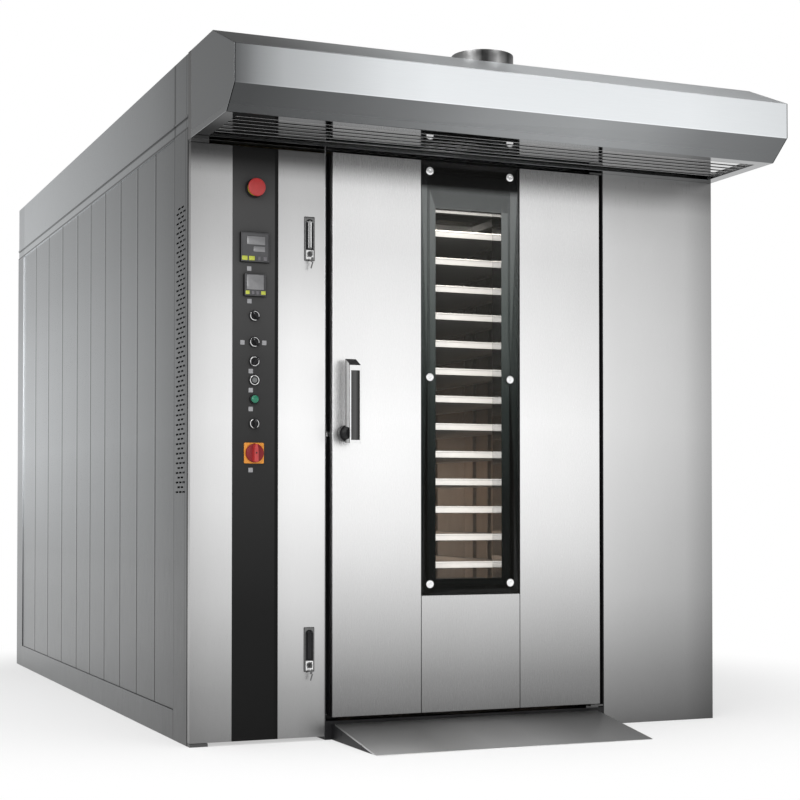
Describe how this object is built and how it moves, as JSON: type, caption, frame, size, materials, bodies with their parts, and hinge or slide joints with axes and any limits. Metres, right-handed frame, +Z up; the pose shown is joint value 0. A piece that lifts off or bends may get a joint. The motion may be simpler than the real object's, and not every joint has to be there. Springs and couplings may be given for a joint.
{
  "type": "rotating rack oven",
  "caption": "Free-standing rotating rack oven: hinged glazed door, separate service door with controls, turning rack of trays on a turntable, steam hood and wheel-in ramp.",
  "frame": {"origin": "on the floor under the turning axis of the rack", "axes": "+X to the right of someone facing the door, +Y into the oven, +Z up"},
  "size_m": [1.93, 3.563, 2.45],
  "materials": {
    "brushed_front": "vertical brushed stainless steel",
    "side_steel": "fine satin stainless steel, darker",
    "frame_steel": "zinc-grey paint",
    "black_metal": "black powder coat",
    "pivot_steel": "bright steel",
    "duct_metal": "plain sheet",
    "ramp_steel": "satin",
    "chamber_steel": "heat-tinted",
    "wool": "mineral wool",
    "heater_steel": "scaled steel",
    "burner_paint": "blue gloss",
    "motor_paint": "grey gloss",
    "impeller_steel": "sheet",
    "lamp_glass": "frosted",
    "tray_alu": "mill finish",
    "rack_steel": "satin",
    "wheel_resin": "heat-proof resin",
    "seal": "silicone",
    "clear_glass": "tempered",
    "black_glass": "black enamel",
    "bright_chrome": "polished",
    "black_plastic": "moulded",
    "grey_plastic": "moulded",
    "green_plastic": "moulded lens",
    "red_plastic": "moulded",
    "yellow_plastic": "moulded"
  },
  "bodies": {
    "cabinet": {"air_ducts": "chamber_steel", "burner": "burner_paint", "cabinet_frame": "frame_steel", "chamber_lamps": "lamp_glass", "chamber_liner": "chamber_steel", "door_fittings": "pivot_steel", "door_frame": "black_metal", "duct_collars": "duct_metal", "electrical_chassis": "frame_steel", "fan_motor": "motor_paint", "front_panels": "brushed_front", "gearmotor": "motor_paint", "heat_exchanger": "heater_steel", "hood_grilles": "brushed_front", "hood_shell": "brushed_front", "insulation": "wool", "ramp": "ramp_steel", "roof_and_rear": "side_steel", "shaft_bearings": "pivot_steel", "side_panels": "side_steel", "side_trims": "side_steel", "steam_generator": "heater_steel"},
    "door": {"door_panels": "brushed_front", "door_core": "black_metal", "door_liner": "brushed_front", "door_gasket": "seal", "window_panes": "clear_glass", "glass_border": "black_glass", "glass_bolts": "bright_chrome", "door_hardware": "black_metal"},
    "handle": {"handle_lever": "bright_chrome", "handle_insert": "black_plastic"},
    "service_door": {"service_door": "brushed_front", "control_panel": "black_metal", "panel_instruments": "black_plastic", "switch_bezels": "bright_chrome", "yellow_backplates": "yellow_plastic", "lock_housings": "bright_chrome"},
    "rack": {"turntable": "rack_steel", "drive_shaft": "pivot_steel", "rack_frame": "rack_steel", "trays": "tray_alu"},
    "fan": {"fan_impeller": "impeller_steel"},
    "damper": {"damper_blade": "duct_metal"},
    "emergency_stop": {"estop_cap": "red_plastic"},
    "isolator": {"isolator_knob": "red_plastic"},
    "grey_push": {"grey_button": "grey_plastic"},
    "green_push": {"green_button": "green_plastic"},
    "selector_a": {"selector_a_knob": "black_plastic"},
    "selector_b": {"selector_b_knob": "black_plastic"},
    "selector_c": {"selector_c_knob": "black_plastic"},
    "selector_d": {"selector_d_knob": "black_plastic"},
    "lever_upper": {"lock_lever_upper": "bright_chrome"},
    "key_upper": {"lock_key_upper": "pivot_steel"},
    "lever_lower": {"lock_lever_lower": "black_plastic"},
    "key_lower": {"lock_key_lower": "pivot_steel"},
    "caster_front_left": {"wheel_front_left": "wheel_resin"},
    "caster_front_right": {"wheel_front_right": "wheel_resin"},
    "caster_rear_left": {"wheel_rear_left": "wheel_resin"},
    "caster_rear_right": {"wheel_rear_right": "wheel_resin"}
  },
  "joints": [
    {"name": "door_hinge", "type": "hinge", "parent": "cabinet", "child": "door", "pos_m": [0.4805, -0.658, 1], "axis": [0, 0, 1], "range_deg": [0, 115]},
    {"name": "handle_turn", "type": "hinge", "parent": "door", "child": "handle", "pos_m": [-0.45, -0.7, 0.993], "axis": [0, 1, 0], "range_deg": [0, 90]},
    {"name": "service_hinge", "type": "hinge", "parent": "cabinet", "child": "service_door", "pos_m": [-0.9465, -0.627, 1], "axis": [0, 0, -1], "range_deg": [0, 110]},
    {"name": "rack_spin", "type": "hinge", "parent": "cabinet", "child": "rack", "pos_m": [0, 0, 1], "axis": [0, 0, 1], "continuous": true},
    {"name": "fan_spin", "type": "hinge", "parent": "cabinet", "child": "fan", "pos_m": [0, 1.33, 1.8], "axis": [0, 0, 1], "continuous": true},
    {"name": "damper_turn", "type": "hinge", "parent": "cabinet", "child": "damper", "pos_m": [0.35, -0.332, 2.105], "axis": [1, 0, 0], "range_deg": [0, 90]},
    {"name": "estop_press", "type": "slide", "parent": "service_door", "child": "emergency_stop", "axis": [0, 1, 0], "range_m": [0, 0.0055]},
    {"name": "isolator_turn", "type": "hinge", "parent": "service_door", "child": "isolator", "pos_m": [-0.7505, -0.641, 0.927], "axis": [0, 1, 0], "range_deg": [0, 90]},
    {"name": "selector_a_turn", "type": "hinge", "parent": "service_door", "child": "selector_a", "pos_m": [-0.7505, -0.641, 1.366], "axis": [0, 1, 0], "range_deg": [0, 90]},
    {"name": "selector_b_turn", "type": "hinge", "parent": "service_door", "child": "selector_b", "pos_m": [-0.7505, -0.641, 1.282], "axis": [0, 1, 0], "range_deg": [0, 90]},
    {"name": "selector_c_turn", "type": "hinge", "parent": "service_door", "child": "selector_c", "pos_m": [-0.7505, -0.641, 1.22], "axis": [0, 1, 0], "range_deg": [-90, 0]},
    {"name": "selector_d_turn", "type": "hinge", "parent": "service_door", "child": "selector_d", "pos_m": [-0.7505, -0.641, 1.021], "axis": [0, 1, 0], "range_deg": [-45, 45]},
    {"name": "grey_press", "type": "slide", "parent": "service_door", "child": "grey_push", "axis": [0, 1, 0], "range_m": [0, 0.003], "stiffness_N_per_m": 400},
    {"name": "green_press", "type": "slide", "parent": "service_door", "child": "green_push", "axis": [0, 1, 0], "range_m": [0, 0.003], "stiffness_N_per_m": 400},
    {"name": "lever_upper_swing", "type": "hinge", "parent": "service_door", "child": "lever_upper", "pos_m": [-0.5625, -0.643, 1.6805], "axis": [-1, 0, 0], "range_deg": [0, 60]},
    {"name": "key_upper_turn", "type": "hinge", "parent": "service_door", "child": "key_upper", "pos_m": [-0.5625, -0.64, 1.575], "axis": [0, 1, 0], "range_deg": [0, 90]},
    {"name": "lever_lower_swing", "type": "hinge", "parent": "service_door", "child": "lever_lower", "pos_m": [-0.5625, -0.643, 0.3505], "axis": [-1, 0, 0], "range_deg": [0, 60]},
    {"name": "key_lower_turn", "type": "hinge", "parent": "service_door", "child": "key_lower", "pos_m": [-0.5625, -0.64, 0.245], "axis": [0, 1, 0], "range_deg": [0, 90]},
    {"name": "wheel_front_left_spin", "type": "hinge", "parent": "rack", "child": "caster_front_left", "pos_m": [-0.255, -0.325, 0.1093], "axis": [1, 0, 0], "continuous": true},
    {"name": "wheel_front_right_spin", "type": "hinge", "parent": "rack", "child": "caster_front_right", "pos_m": [0.255, -0.325, 0.1093], "axis": [1, 0, 0], "continuous": true},
    {"name": "wheel_rear_left_spin", "type": "hinge", "parent": "rack", "child": "caster_rear_left", "pos_m": [-0.255, 0.325, 0.1093], "axis": [1, 0, 0], "continuous": true},
    {"name": "wheel_rear_right_spin", "type": "hinge", "parent": "rack", "child": "caster_rear_right", "pos_m": [0.255, 0.325, 0.1093], "axis": [1, 0, 0], "continuous": true}
  ]
}
